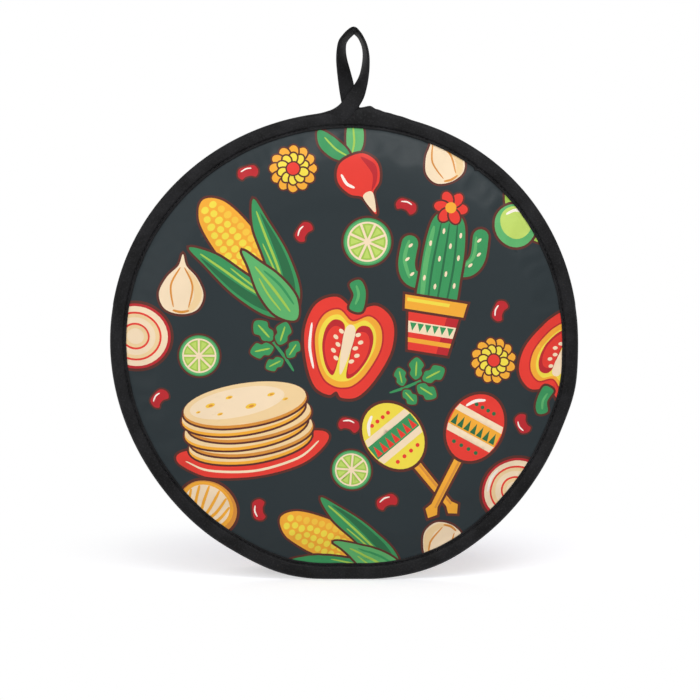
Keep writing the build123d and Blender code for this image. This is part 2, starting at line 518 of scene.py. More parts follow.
def limb(points, width):
    """The outline of a stroke of even width with round ends."""
    line, right, left = stroke_sides(points, lambda share: width / 2)
    ends = []
    for end, inner in ((line[-1], line[-2]), (line[0], line[1])):
        way = (end - inner).normalized() * width / 2
        side = Vector((way.y, -way.x))
        ends.append([tuple(end + side * cos(t) + way * sin(t)) for t in (pi * k / 8 for k in range(1, 8))])
    return right + ends[0] + left + ends[1]


def area_of(line):
    """Signed area of an outline, above 0 where it runs anticlockwise."""
    return sum(a[0] * b[1] - b[0] * a[1] for a, b in zip(line, line[1:] + line[:1])) / 2


def grown(line, width):
    """An outline moved outwards by a width."""
    line = line if area_of(line) > 0 else line[::-1]
    spots = [Vector(p) for p in line]
    out = []
    for before, spot, after in zip(spots[-1:] + spots[:-1], spots, spots[1:] + spots[:1]):
        first = (spot - before).normalized()
        second = (after - spot).normalized()
        way = first + second
        way = (way if way.length > 1e-6 else first).normalized()
        spread = max(way.dot(first), 0.5)
        out.append(tuple(spot + Vector((way.y, -way.x)) * width / spread))
    return out


def edged(ink, line, width=1.5):
    """Blots of an inked shape with a dark line round it."""
    return [("outline", grown(line, width)), (ink, line)]


def mirrored(blots):
    """The same blots on the other side of the upright axis."""
    return [(ink, [(-x, y) for x, y in reversed(line)]) for ink, line in blots]


def moved(blots, x=0, y=0, turn=0, size=1.0):
    """Blots turned, scaled and shifted."""
    c, s = cos(radians(turn)) * size, sin(radians(turn)) * size
    return [(ink, [(x + px * c - py * s, y + px * s + py * c) for px, py in line]) for ink, line in blots]


def round_places(count, far, start=0.0):
    """Places round a circle: x, y and the turn of each in degrees. start is the first one's, in steps."""
    turns = [360 * (k + start) / count for k in range(count)]
    return [(far * cos(radians(t)), far * sin(radians(t)), t) for t in turns]


# ---------------------------------------------------------------- the print's motifs


def corn():
    """A cob of corn in its husk."""
    blots = edged("amber", even([(0, 43), (9, 35), (12.5, 18), (12, -4), (8, -24), (0, -32)]))
    for row in range(14):
        y = 37 - row * 4.9
        half = 11.5 * sqrt(max(0, 1 - ((y - 6) / 36) ** 2))
        count = max(1, int(half / 2.4))
        for k in range(count):
            x = (k - (count - 1) / 2) * 2 * half / count
            kernel = oval(x, y - (x / 12) ** 2 * 2, half / count * 0.82, 2.1, count=14)
            blots.append(("yellow" if x < half * 0.55 else "gold", kernel))
    leaf = [(1, -46), (-12, -36), (-20, -14), (-23, 10), (-24, 25), (-14, 12), (-8, -6), (-3, -22), (1, -34)]
    shade = [(0, -42), (-11, -33), (-19, -12), (-22.4, 16), (-17, -2), (-11, -20), (-4, -34)]
    husk = edged("green", curve(leaf)) + [("deep green", curve(shade))]
    husk.append(stroke("lime", [(-2, -36), (-10, -18), (-16, 2), (-21, 18)], 1.5))
    husk.append(stroke("lime", [(-3, -30), (-8, -16), (-12, 0)], 1.1))
    blots += husk + mirrored(husk)
    front = [(0, -48), (-8, -38), (-8, -22), (-3, -6), (0, 4), (4, -8), (8, -22), (8, -38)]
    blots += edged("leaf", curve(front))
    blots.append(stroke("lime", [(0, -42), (0.5, -26), (0, -8)], 1.6))
    blots.append(stroke("green", [(4.4, -40), (5, -26), (2.6, -13)], 1.6))
    blots.append(stroke("lime", [(-4, -38), (-4, -26), (-2.4, -15)], 1.1))
    return blots


def cactus():
    """A small cactus in a striped pot, with a flower on top."""
    blots = edged("green", limb([(-6, -6), (-16, -5), (-20, 2), (-20, 14)], 9.5))
    blots += edged("green", limb([(6, 4), (15, 5), (19.5, 12), (19.5, 24)], 9))
    blots.append(stroke("leaf", [(-20.6, 16), (-21.6, 5), (-17, -5.6)], 2.2))
    blots.append(stroke("leaf", [(17, 24), (17, 12), (11, 4.6)], 2))
    stem = [(0, 36), (8, 32), (11, 20), (11.5, 0), (9.5, -22), (-9.5, -22), (-11.5, 0), (-11, 20), (-8, 32)]
    blots += edged("green", curve(stem))
    blots.append(stroke("leaf", [(-8, 26), (-9.3, 4), (-8, -20)], 3))
    for x in (-4.6, 0.6, 5.8):
        blots.append(stroke("deep green", [(x, -19), (x * 1.15, 4), (x * 0.9, 29)], 1.3))
    spines = [(-2, 24), (3, 16), (-2, 8), (3, 0), (-2, -8)]
    spines += [(8.6, 10), (-8.4, 16), (8.8, -6), (-8.8, -4), (8, 23)]
    for x, y in spines:
        blots.append(("cream", oval(x, y, 0.8, 1.7, count=8)))
    for x, y in ((-16, -3), (-20, 5), (-19.4, 13), (16, 7), (20, 14), (19, 22)):
        blots.append(("cream", oval(x, y, 1.6, 0.8, turn=50, count=8)))
    for x, y, turn in round_places(6, 5.4):
        blots += edged("red", oval(x, y + 38, 4.3, 3, turn, count=16), 1.0)
    blots.append(("amber", oval(0, 38, 3.2, count=14)))
    blots += edged("red", strip(-46, -22, 11.5, 15))
    blots.append(("deep red", [(5, -46), (11.5, -46), (15, -22), (8, -22)]))
    blots.append(("cream", strip(-36, -29.5, 13, 13.9)))
    for k in range(6):
        x = -10.8 + k * 4.32
        blots.append(("green", [(x, -35), (x + 1.9, -30.3), (x - 1.9, -30.3)]))
    blots.append(("amber", strip(-41.6, -39, 12.2, 12.6)))
    blots += edged("amber", strip(-23, -15, 17, 18))
    blots.append(("yellow", [(-16.4, -18.5), (8, -18.5), (8.2, -16.5), (-16.6, -16.5)]))
    return blots


def tortillas():
    """A pile of tortillas on a hemmed napkin."""
    napkin = [(-46, -16), (-30, -27), (0, -31), (30, -27), (47, -15), (38, -9), (0, -14), (-38, -10)]
    blots = edged("red", curve(napkin))
    blots.append(stroke("cream", [(-40.5, -16.4), (-27, -23.8), (0, -27.6), (27, -23.8), (41, -15.4)], 1.5))
    for level, shift in enumerate((0.0, 1.6, -1.2, 1.8, -1.4, 0.4)):
        y = -9 + level * 4.4
        blots += edged("toast" if level % 2 else "amber", oval(shift, y - 1.4, 37.5, 12.5, count=44), 1.2)
        blots.append(("dough", oval(shift, y, 37.2, 12.2, count=44)))
    blots.append(("cream", oval(-4, 14.2, 29, 8.6, turn=2, count=36)))
    spots = [(-20, 15, 3), (-8, 18, 2.2), (4, 11, 3.4), (17, 16, 2.4)]
    spots += [(25, 12, 1.8), (-15, 9, 1.8), (-28, 12, 1.5)]
    for x, y, size in spots:
        blots.append(("gold", oval(x, y, size, size * 0.42, turn=8, count=14)))
        blots.append(("toast", oval(x + 0.3, y - 0.1, size * 0.5, size * 0.2, turn=8, count=10)))
    return blots


def pepper():
    """Half of a sweet pepper, cut side forward."""
    skin = even([(0, 22), (12, 27), (23, 20), (26, 4), (21, -14), (13, -27), (4, -30), (0, -27)])
    flesh = even([(0, 15), (9, 20), (17, 15), (19.5, 3), (15, -12), (9, -21), (3, -24)])
    blots = edged("red", skin, 1.8)
    blots.append(("deep red", grown(flesh, 1.0)))
    blots.append(("amber", flesh))
    blots.append(("yellow", [(x * 0.86 - 0.6, y * 0.86) for x, y in flesh]))
    hollow = curve([(3.6, 11), (10, 14), (14.2, 8), (14, -3), (9.4, -14), (4, -18), (3, -6)])
    half = [("deep red", hollow), ("red", [(1.2 + x * 0.8, y * 0.8 - 1) for x, y in hollow])]
    blots += mirrored(half) + half
    blots.append(("cream", even([(0, 13), (3.2, 9), (2.4, -6), (0, -17)])))
    seeds = ((5, 8), (7.4, 4), (5.2, 0), (7, -4), (4.6, -8))
    right_seeds = [("cream", oval(x, y, 1.7, 1.2, turn=30, count=10)) for x, y in seeds]
    blots += right_seeds + mirrored(right_seeds)
    stem = [(-3.4, 22), (-2.8, 30), (-6.4, 36), (-1, 39.5), (3.8, 33), (4, 22)]
    blots += edged("green", curve(stem))
    blots.append(stroke("leaf", [(-0.6, 25), (0, 31), (-2.6, 36)], 1.6))
    blots.append(stroke("white", [(-22.9, 9), (-21, -5), (-16, -17)], 1.7))
    return blots


def maraca(shell, band, teeth):
    """A rattle with a painted shell and a turned handle."""
    blots = edged("amber", [(-2.4, -4), (-2, -38), (-3.8, -42), (0, -46), (3.8, -42), (2, -38), (2.4, -4)])
    blots.append(("toast", [(0.4, -8), (0.4, -39), (1.6, -39), (1.8, -8)]))
    blots += edged(shell, oval(0, 13, 16.5, 20.5, count=40), 1.7)
    for low, high, ink in ((4, 8, "cream"), (8, 17, band), (17, 21, "cream")):
        ends = [16.1 * sqrt(1 - ((y - 13) / 20.5) ** 2) for y in (low, high)]
        blots.append((ink, strip(low, high, *ends)))
    for k in range(7):
        x = -12.9 + 4.3 * k
        blots.append((teeth, [(x - 1.8, 9), (x + 1.8, 9), (x, 15.6)]))
    for x in (-7.5, -2.5, 2.5, 7.5):
        blots.append((teeth, oval(x, 0.0, 1.2, count=10)))
        blots.append((teeth, oval(x * 0.8, 25.4, 1.2, count=10)))
    blots.append(stroke("white", [(-11, 21.6), (-7.4, 26.8), (-2.4, 30)], 1.9))
    return blots


def maracas():
    """Two rattles laid across each other."""
    under = moved(maraca("yellow", "green", "red"), -17, 6, 34)
    return under + moved(maraca("red", "amber", "deep green"), 17, 6, -34)


def lime_wheel():
    """A round slice of lime."""
    blots = edged("green", oval(0, 0, 15, count=40))
    blots.append(("leaf", oval(0, 0, 14.2, count=40)))
    blots.append(("cream", oval(0, 0, 12.7, count=40)))
    for _, _, turn in round_places(8, 1, 0.5):
        for ink, near, far, half in (("lime", 2.0, 11.5, 18.5), ("pulp", 4.4, 10.4, 11.47)):
            rind = [radians(turn + half * share) for share in (-1, -0.5, 0, 0.5, 1)]
            tip = (near * cos(radians(turn)), near * sin(radians(turn)))
            blots.append((ink, [tip, *((far * cos(t), far * sin(t)) for t in rind)]))
    return blots


def radish():
    """A radish with two leaves."""
    leaf = curve([(1, 8), (9, 13), (13, 23), (10, 31), (4, 24), (0, 14)])
    vein = stroke("lime", [(1.5, 11), (5.5, 17), (8.6, 26)], 1.1)
    blots = edged("leaf", leaf, 1.3) + [vein] + mirrored(edged("green", leaf, 1.3) + [vein])
    right = [(0, 10), (8, 8), (12, 0), (9, -9), (3, -14), (0.6, -24)]
    blots += edged("red", curve([*right, (-1, -24), (-3, -14), (-9, -9), (-12, 0), (-8, 8)]))
    blots.append(("deep red", curve([(5, 7.4), (10.6, 0), (8, -8), (3, -12), (7, -4)])))
    blots.append(("cream", curve([(0.4, -12), (3, -14), (0.6, -23), (-1, -23), (-3, -14)])))
    blots.append(stroke("white", [(-8.6, 3), (-8, -3), (-5, -7)], 1.7))
    return blots


def garlic():
    """A bulb of garlic."""
    blots = edged("cream", even([(0, 22), (2.4, 15), (9, 8), (13.5, -2), (10, -11), (0, -14)]))
    blots.append(("dough", curve([(3, 13), (9, 7), (12.6, -2), (9, -10.4), (3, -12.6), (7.6, -4), (6, 6)])))
    clove = stroke("toast", [(1.2, 14), (6.5, 3), (4.6, -10)], 1.2)
    blots += [clove, *mirrored([clove])]
    blots.append(stroke("toast", [(-5, -11.8), (0, -12.8), (5, -11.8)], 1.6))
    return blots


def marigold():
    """An orange flower with a frilled edge."""
    blots = []
    for count, start, far, size, ink in ((12, 0, 10.5, 3.9, "amber"), (10, 0.5, 6.6, 3.0, "yellow")):
        for x, y, turn in round_places(count, far, start):
            blots += edged(ink, oval(x, y, size, size * 0.8, turn, count=14), 1.0)
    blots += edged("red", oval(0, 0, 3.8, count=18), 0.9)
    return blots


def sprig():
    """A sprig of coriander."""
    leaf = curve([(-6, 0), (-3, 3.4), (0, 3), (3, 4.2), (7, 0), (3, -4.2), (0, -3), (-3, -3.4)])
    veined = edged("green", leaf, 1.0) + [stroke("lime", [(-4, 0), (4.5, 0)], 1.0)]
    blots = [stroke("green", [(-2, -18), (0, -6), (1, 8)], 1.9)]
    for x, y, turn, size in (
        (1, 13, 90, 1.25),
        (-7.4, 5, 150, 1.15),
        (8.4, 4, 30, 1.15),
        (-7.4, -6.6, 165, 0.95),
        (6.4, -7.6, 15, 0.95),
    ):
        blots += moved(veined, x, y, turn, size)
    return blots


def onion():
    """A cut onion."""
    blots = edged("deep red", oval(0, 0, 20, 18, count=40), 1.6)
    for k, ink in enumerate(("cream", "red", "cream", "red", "cream")):
        size = 0.92 - 0.17 * k
        blots.append((ink, oval(0, 0, 20 * size, 18 * size, count=36)))
        if ink == "red":
            blots.append(("dough", oval(0, 0, 20 * size - 1.1, 18 * size - 1.1, count=36)))
    blots.append(stroke("white", [(-15.4, 5), (-11, 11), (-5, 14.4)], 1.6))
    return blots


def bread():
    """A round sweet bun, its sugar paste scored like a shell."""
    blots = edged("toast", oval(0, 0, 17, 15.5, count=40), 1.6)
    blots.append(("amber", oval(-0.8, 0.8, 15.4, 13.8, count=40)))
    blots.append(("cream", oval(-0.8, 1.2, 13.2, 11.8, count=36)))
    foot = Vector((-0.8, -10.8))
    for turn in (-66, -40, -14, 14, 40, 66):
        middle = radians(90 + turn)
        tip = Vector((13 * cos(middle) - 0.8, 11.6 * sin(middle) + 1.2))
        bulge = Vector((tip.y - foot.y, foot.x - tip.x)).normalized() * -0.05 * turn
        blots.append(stroke("amber", [foot, (foot + tip) / 2 + bulge, tip], 1.7, taper=0.5))
    return blots


def bean():
    """A kidney bean."""
    skin = [(-6.4, 0), (-4.6, 4), (0, 4.6), (5.4, 3.6), (7, -0.6)]
    skin += [(4.6, -3.8), (1.4, -2.2), (-2, -2), (-4.6, -3)]
    return edged("deep red", curve(skin), 1.1) + [stroke("white", [(-3.8, 2.2), (0, 3.2), (3.4, 2.4)], 1.0)]


def tomatillo():
    """A green husk tomato with its papery husk peeled back."""
    blots = []
    husk = even([(0, 2), (5, 8), (4, 17), (0, 23)])
    for k in range(5):
        blots += moved(edged("olive" if k % 2 else "lime", husk, 1.3), 0, 1, turn=-70 + 35 * k)
    blots += edged("leaf", oval(0, -3, 12.5, 12, count=32))
    blots.append(("pulp", oval(-1.2, -1.6, 9.6, 9, count=28)))
    blots.append(stroke("white", [(-8.4, -3), (-7, 2.4), (-3.2, 5.4)], 1.7))
    return blots


def print_design():
    """The whole print: what lies where on the panel, in millimetres from its centre."""
    layout = (
        # motif, x, y, turn in degrees, size
        (corn(), -62, 57, 38, 1.06),
        (cactus(), 60, 46, -9, 1.10),
        (tortillas(), -62, -50, 9, 1.06),
        (maracas(), 58, -72, 5, 1.08),
        (pepper(), 1, 0, -13, 1.08),
        (radish(), 8, 110, 24, 1.15),
        (onion(), -133, 6, 0, 1.15),
        (pepper(), 139, -8, 155, 0.98),
        (corn(), -4, -126, 64, 0.95),
        (lime_wheel(), 14, 66, 20, 1.0),
        (bread(), -88, -104, -24, 1.15),
        (garlic(), -103, 35, -2, 1.05),
        (marigold(), -33, 113, 0, 1.05),
        (marigold(), 94, -9, 10, 1.0),
        (tomatillo(), 110, 78, -52, 1.1),
        (sprig(), -43, -1, 42, 1.0),
        (sprig(), 44, -23, -62, 0.95),
        (garlic(), 62, 116, 24, 0.95),
        (onion(), 108, -92, 20, 1.1),
        (lime_wheel(), -92, -6, 0, 0.86),
        (lime_wheel(), 4, -78, 40, 0.82),
        (garlic(), 60, -124, 150, 0.95),
        (bean(), -26, 72, 60, 1.0),
        (bean(), 38, 88, -20, 1.0),
        (bean(), 98, 22, 70, 1.0),
        (bean(), -62, 110, 20, 1.0),
        (bean(), 114, -50, 120, 1.0),
        (bean(), 26, -98, 30, 1.0),
        (bean(), -54, -104, 100, 1.0),
        (bean(), -118, -34, 50, 1.0),
        (bean(), 2, -50, -10, 1.0),
    )
    return [blot for blots, x, y, turn, size in layout for blot in moved(blots, x, y, turn, size)]


# ---------------------------------------------------------------- panels


def printed_sheet(blots):
    """A flat disc of triangles whose edges follow the print, with the ink of each triangle."""
    grain = 2.6 * MM
    edge_points = 420
    closest = 1e-6  # points nearer to each other than this are made one
    spots = staggered(cloth_radius, grain, grain / 2)
    outlines = [ring_of(cloth_radius, edge_points)]
    inks = ["ground"]
    for ink, line in blots:
        line = [Vector(p) * MM for p in (line if area_of(line) > 0 else line[::-1])]
        if min(p.length for p in line) < margin_radius:
            outlines.append(line)
            inks.append(ink)
    faces = []
    for line in outlines:
        faces.append(list(range(len(spots), len(spots) + len(line))))
        spots += line
    flat, _, triangles, _, _, origins = delaunay_2d_cdt(spots, [], faces, 1, closest, True)
    inside = [(corners, inks[max(within)]) for corners, within in zip(triangles, origins) if 0 in within]
    return flat, inside


def printed_cover(name, sheet, toward, place):
    """A panel's printed cover. place gives the cloth's point for a place on the flat disc."""
    flat, triangles = sheet
    used = sorted({i for corners, _ in triangles for i in corners})
    number = {old: new for new, old in enumerate(used)}
    mesh = bpy.data.meshes.new(name)
    faces = [[number[i] for i in corners] for corners, _ in triangles]
    # seen from the front an anticlockwise triangle faces the viewer, and at the rear x is turned round
    mesh.from_pydata([place(flat[i].x * -toward, flat[i].y) for i in used], [], faces)
    ink = mesh.color_attributes.new("ink", "FLOAT_COLOR", "CORNER")
    cut = mesh.uv_layers.new(name="cut")
    shades = {key: linear(value) for key, value in INKS.items()}
    for face, (corners, colour) in zip(mesh.polygons, triangles):
        for loop, corner in zip(face.loop_indices, corners):
            ink.data[loop].color = shades[colour]
            spot = flat[corner] / (2 * cloth_radius)
            cut.data[loop].uv = (0.5 + spot.x, 0.5 + spot.y)
    return add_piece(name, mesh, cover_cloth)


def spun(mesh, angle, steps, full=True):
    """Spins a section round the Y axis in coarse steps, and cuts each step finer."""
    cuts = 7
    geometry = mesh.verts[:] + mesh.edges[:]
    turn = {"cent": (0, 0, 0), "axis": (0, 1, 0), "angle": angle, "steps": steps // (cuts + 1)}
    bmesh.ops.spin(mesh, geom=geometry, use_merge=full, **turn)
    turned = []
    for edge in mesh.edges:
        start, end = (v.co for v in edge.verts)
        if abs(start.y - end.y) < 1e-9 and abs(hypot(*start.xz) - hypot(*end.xz)) < 1e-7:
            turned.append(edge)
    bmesh.ops.subdivide_edges(mesh, edges=turned, cuts=cuts)


def layer_point(toward, crown_depth, seam_depth, liveliness=1.0, slack=0.0):
    """Gives the point of a layer's face for a place on the flat disc. toward is -1 at the front.

    liveliness is how much of the cover's creases it takes on, and slack how far it lies under them. The
    rear panel is creased elsewhere, and its seam margin lies further forward where it is sewn.
    """
    turn = Matrix.Rotation(radians(130) if toward > 0 else 0, 2)

    def point(x, z):
        radius = hypot(x, z)
        seam = seam_depth - (rear_seam(z + centre.z) if toward > 0 else 0)
        depth = seam + (crown_depth - seam) * loft(radius)
        depth -= slack * ramp(margin_radius - radius, 0, 3 * MM)
        shift = Vector((0, 0, 0))
        if radius < margin_radius:
            shift = ease(*(turn @ Vector((x, z)))) * liveliness
            flat = turn.inverted() @ shift.xz
            shift = Vector((flat.x, -toward * shift.y, flat.y))
        return slumped(x + shift.x, toward * depth + shift.y, z + shift.z)

    return point


def spun_layer(name, inner, outer, material):
    """A layer of cloth or wadding as a closed shell, spun from its section and laid between two faces."""
    rings = 64
    steps = 240
    section = bmesh.new()
    level = section.verts.layers.float.new("level")
    radii = [cloth_radius * sin(pi / 2 * k / rings) for k in range(rings + 1)]
    path = [(r, 0.0) for r in radii] + [(r, 1.0) for r in reversed(radii)]
    before = None
    for radius, face in path:
        vertex = section.verts.new((0, face * MM, radius))
        vertex[level] = face
        if before:
            section.edges.new((before, vertex))
        before = vertex
    spun(section, 2 * pi, steps)
    bmesh.ops.remove_doubles(section, verts=section.verts, dist=1e-7)
    for vertex in section.verts:
        spot = (vertex.co.x, vertex.co.z)
        vertex.co = outer(*spot) if vertex[level] > 0.5 else inner(*spot)
    bmesh.ops.recalc_face_normals(section, faces=section.faces)
    return add_piece(name, section, material)


def panel(side, toward):
    """One panel's cover, wadding and lining."""
    calm = 0.3  # the inner layers' share of the cover's creases
    cover = layer_point(toward, crown_cover, seam_cover)
    wadding_out = layer_point(toward, crown_wadding, seam_wadding, slack=wadding_slack)
    wadding_in = layer_point(toward, crown_lining + ply_gap, seam_lining, calm)
    lining_out = layer_point(toward, crown_lining, seam_lining, calm)
    lining_in = layer_point(toward, pocket_depth, seam_inner, calm)
    return (
        printed_cover(f"{side}_cover_cloth", printed, toward, cover),
        spun_layer(f"{side}_wadding_layer", wadding_in, wadding_out, wadding_felt),
        spun_layer(f"{side}_lining_cloth", lining_in, lining_out, lining_cloth),
    )


# ---------------------------------------------------------------- tapes


def rise_by_loop(x):
    """How far the rim stands out beside the hanging loop, where the tape's two ends are sewn in."""
    marks = (
        # x and height, mm
        (-17, 0),
        (-8, 1.4),
        (-2, 4.2),
        (4, 3.4),
        (9.3, 2.9),
        (15.7, 4.3),
        (19.5, 2.7),
        (26, 1.5),
        (34, 0.8),
        (44, 0),
    )
    x /= MM
    for (left, low), (right, high) in pairwise(marks):
        if left <= x <= right:
            return (low + (high - low) * ramp(x, left, right)) * MM
    return 0.0


@lru_cache
def tape_section(front, back):
    """The folded tape's closed section: [(radius, depth, way across, whether it is the outside)].

    It starts at the inner edge of the front leg, goes out over the fold and returns inside. The points
    lie closer where the stitching pulls the tape in.
    """
    leg_marks = (0.0, 0.25, 0.7, 1.15, 1.45, 1.65, 1.85, 2.1, 2.5, 3.2, 4.2, 5.4, 6.6, 7.6)
    fold_depth = 2.6 * MM
    fold_steps = 14
    middle = (front + back) / 2
    half = (back - front) / 2
    fold_from = rim_radius - fold_depth
    leg = [inner_edge + r * MM for r in leg_marks]
    turns = [pi * k / fold_steps for k in range(fold_steps + 1)]
    outside = [(r, front) for r in leg]
    outside += [(fold_from + fold_depth * sin(t), middle - half * cos(t)) for t in turns]
    outside += [(r, back) for r in reversed(leg)]
    inside = [
        (inner_edge, back - tape_thickness),
        (fold_from, back - tape_thickness),
        (rim_radius - tape_thickness, middle + half * 0.4),
        (rim_radius - tape_thickness, middle - half * 0.4),
        (fold_from, front + tape_thickness),
        (inner_edge, front + tape_thickness),
    ]
    across = [0.0, *accumulate(dist(*pair) for pair in pairwise(outside))]
    section = [(*spot, way, True) for spot, way in zip(outside, across)]
    return section + [(*spot, across[-1], False) for spot in inside]


def stitch_groove(radius):
    """How deep the row of stitching pulls the tape in, at a radius."""
    return 1.05 * MM * max(0, 1 - abs(radius - stitch_row) / (0.75 * MM)) ** 1.2


def tape_relief(angle, radius, seed):
    """How far the tape stands off its flat face: puckers that lean with the bias cut, and a soft crown."""
    across = radius - inner_edge
    lean = angle * rim_radius + across * 0.9
    fine = noise.noise(Vector((lean / (4.2 * MM), across / (7 * MM), seed)))
    broad = noise.noise(Vector((lean / (17 * MM), across / (20 * MM), seed + 9)))
    puckers = 0.34 * MM * fine + 0.3 * MM * broad
    crowned = 0.6 * MM * sin(pi * min(max(across / binding_width, 0), 1))
    return crowned + ramp(across, 1.2 * MM, 3.2 * MM) * puckers


def inner_stray(angle, seed, caught):
    """How far the tape's inner edge wanders, and dips where spare cloth was caught in the seam."""
    stray = 0.22 * MM * noise.noise(Vector((angle * 14, seed, 0)))
    if caught:
        stray -= 1.3 * MM * max(0, 1 - abs(angle - caught_angle) / radians(0.8)) ** 2
    return stray


def bound_edge(name, start, end, faces_at, seed, rise=None):
    """A binding tape spun round the rim from one angle to another. faces_at gives its two faces there."""
    pitch = 1.05 * MM
    full = abs(end - start - 2 * pi) < 1e-6
    ring = bmesh.new()
    place = ring.verts.layers.float.new("place")
    turn = ring.verts.layers.float.new("turn")
    around = [ring.verts.new((r * sin(start), y * MM, r * cos(start))) for r, y, *_ in tape_section(0.0, 1.0)]
    for i, vertex in enumerate(around):
        vertex[place] = i
        ring.edges.new((vertex, around[i - 1]))
    spun(ring, end - start, int((end - start) * rim_radius / pitch), full)
    if not full:
        bmesh.ops.holes_fill(ring, edges=[e for e in ring.edges if e.is_boundary], sides=0)
    for vertex in ring.verts:
        angle = atan2(vertex.co.x, vertex.co.z)
        vertex[turn] = angle
        front, back = faces_at(angle)
        radius, depth, _, outside = tape_section(front, back)[round(vertex[place])]
        if outside:
            relief = tape_relief(angle, radius, seed) - stitch_groove(radius)
            side = (depth - (front + back) / 2) / ((back - front) / 2)
            depth += relief * max(-1, min(1, side))
        stray = inner_stray(angle, seed, caught=rise is not None)
        radius += stray * (1 - ramp(radius, inner_edge, rim_radius - 4 * MM))
        if rise and abs(angle) < radians(25):
            radius += rise(radius * sin(angle)) * ramp(radius, rim_radius - 6.5 * MM, rim_radius)
        vertex.co = slumped(radius * sin(angle), depth, radius * cos(angle))
    bmesh.ops.recalc_face_normals(ring, faces=ring.faces)
    tape_map = ring.loops.layers.uv.new("tape")
    ways = [way for _, _, way, _ in tape_section(*faces_at(0))]
    for face in ring.faces:
        turns = [loop.vert[turn] for loop in face.loops]
        wraps = max(turns) - min(turns) > pi
        for loop in face.loops:
            angle = loop.vert[turn]
            if wraps and angle < 0:
                angle += 2 * pi
            loop[tape_map].uv = (angle * rim_radius, ways[round(loop.vert[place])])
    return add_piece(name, ring, tape)


def rim_faces(angle):
    """The rim binding's two faces: it takes in both panels, or above the mouth's ends only the front.

    Just below the mouth's ends it is lifted, because the mouth binding's ends are tucked under it.
    """
    past = abs(angle) - mouth_angle
    tucked = (mouth_back + tape_thickness - back_tape) * (1 - ramp(past, radians(0.8), tuck))
    back = back_tape + tucked
    return front_tape, back + (seam_gap - back) * (1 - ramp(past, 0, radians(0.5)))


def rim_back(angle):
    """Depth of the rim binding's back face, also for angles past the foot."""
    return rim_faces(atan2(sin(angle), cos(angle)))[1]


def mouth_faces(angle):
    """The mouth binding's two faces. Its ends dive under the rim binding."""
    dive = ramp(abs(angle) - mouth_angle, 0, mouth_tuck)
    return mouth_front - 1.2 * MM * dive, mouth_back - 2.3 * MM * dive


# ---------------------------------------------------------------- stitching


def stitches(name, spots):
    """Short stitches, each from (start, end, half thickness)."""
    sewn = bmesh.new()
    local = sewn.verts.layers.float_vector.new("local")
    one = bmesh.ops.create_uvsphere(sewn, u_segments=6, v_segments=4, radius=1)["verts"]
    for vertex in one:
        vertex[local] = vertex.co
    copies = {"steps": len(spots) - 1, "use_duplicate": True}
    bmesh.ops.spin(sewn, geom=sewn.faces[:], axis=(0, 1, 0), cent=(0, 0, 0), **copies)
    each = len(one)
    # the first two copies' points come mixed in sewn.verts, so those two stitches run into each other
    for number, vertex in enumerate(sewn.verts):
        start, end, half = spots[number // each]
        run = end - start
        shape = (
            Matrix.Translation((start + end) / 2)
            @ run.to_track_quat("X", "Y").to_matrix().to_4x4()
            @ Matrix.Diagonal((run.length / 2, half, half, 1))
        )
        vertex.co = shape @ vertex[local]
    return add_piece(name, sewn, thread)


def topstitch_spots(start, end, depth_at, seed):
    """Where a row of topstitching lies along a binding, from one angle to another."""
    pitch = 3.3 * MM
    dice = Random(seed)
    spots = []
    for k in range(int((end - start) * stitch_row / pitch)):
        first = start + (k + 0.12 + dice.uniform(-0.04, 0.04)) * pitch / stitch_row
        last = start + (k + 0.88 + dice.uniform(-0.04, 0.04)) * pitch / stitch_row
        lean = dice.uniform(-0.1, 0.1) * MM
        ends = []
        for angle, offset in ((first, lean), (last, -lean)):
            radius = stitch_row + offset
            ends.append(slumped(radius * sin(angle), depth_at(angle), radius * cos(angle)))
        spots.append((*ends, 0.21 * MM))
    return spots


def bar_tack(side):
    """A bar tack over one end of the mouth: close zigzag stitches over a short line."""
    count = 14
    angle = side * (mouth_angle + radians(1.4))
    radius = rim_radius - binding_width / 2
    middle = slumped(radius * sin(angle), rim_back(angle), radius * cos(angle))
    along = Vector((sin(angle), 0, cos(angle))) * 8.5 * MM
    across = Vector((cos(angle), 0, -sin(angle))) * 2.6 * MM
    proud = Vector((0, 0.25 * MM, 0))
    dice = Random(21)
    spots = []
    for k in range(count):
        spot = middle + along * ((k + 0.5) / count - 0.5)
        half_step = along * (0.5 / count)
        jitter = dice.uniform(-0.08, 0.08)
        start = spot - across * (0.5 + jitter) - half_step + proud
        end = spot + across * (0.5 - jitter) + half_step + proud
        spots.append((start, end, 0.22 * MM))
    return spots


# ---------------------------------------------------------------- the hanging loop


def loop_stations():
    """The loop's tape, station by station: its middle, and the turn of its width from flat.

    It leaves the rim on the left, crosses in front, goes round the eye and comes down behind itself.
    """
    marks = (
        # x, z, turn in degrees, y
        (-24, 291.6, 0, -2.9),
        (-14, 293.3, 0, -3.0),
        (-6.8, 295.5, 0, -3.2),
        (-1.4, 298.7, 2, -3.5),
        (2.8, 303.0, 6, -3.6),
        (6.6, 308.6, 14, -3.6),
        (9.6, 314.6, 40, -3.3),
        (11.8, 321.0, 58, -3.0),
        (13.0, 327.8, 67, -2.8),
        (13.3, 334.8, 72, -2.6),
        (12.3, 341.0, 75, -2.4),
        (10.0, 346.2, 76, -2.2),
        (7.8, 349.0, 74, -2.1),
        (5.5, 350.7, 71, -2.0),
        (2.9, 348.9, 68, -1.9),
        (0.3, 346.2, 68, -1.8),
        (-1.8, 342.8, 64, -1.8),
        (-2.5, 337.6, 59, -1.7),
        (-2.2, 331.8, 51, -1.6),
        (-1.2, 325.8, 41, -1.4),
        (0.0, 319.6, 31, -1.2),
        (1.2, 313.4, 22, -1.0),
        (2.6, 306.8, 10, -0.9),
        (4.2, 300.0, 2, -1.2),
        (5.8, 292.0, 0, -1.6),
    )
    return [Vector((x * MM, y * MM, z * MM, radians(turn))) for x, z, turn, y in marks]


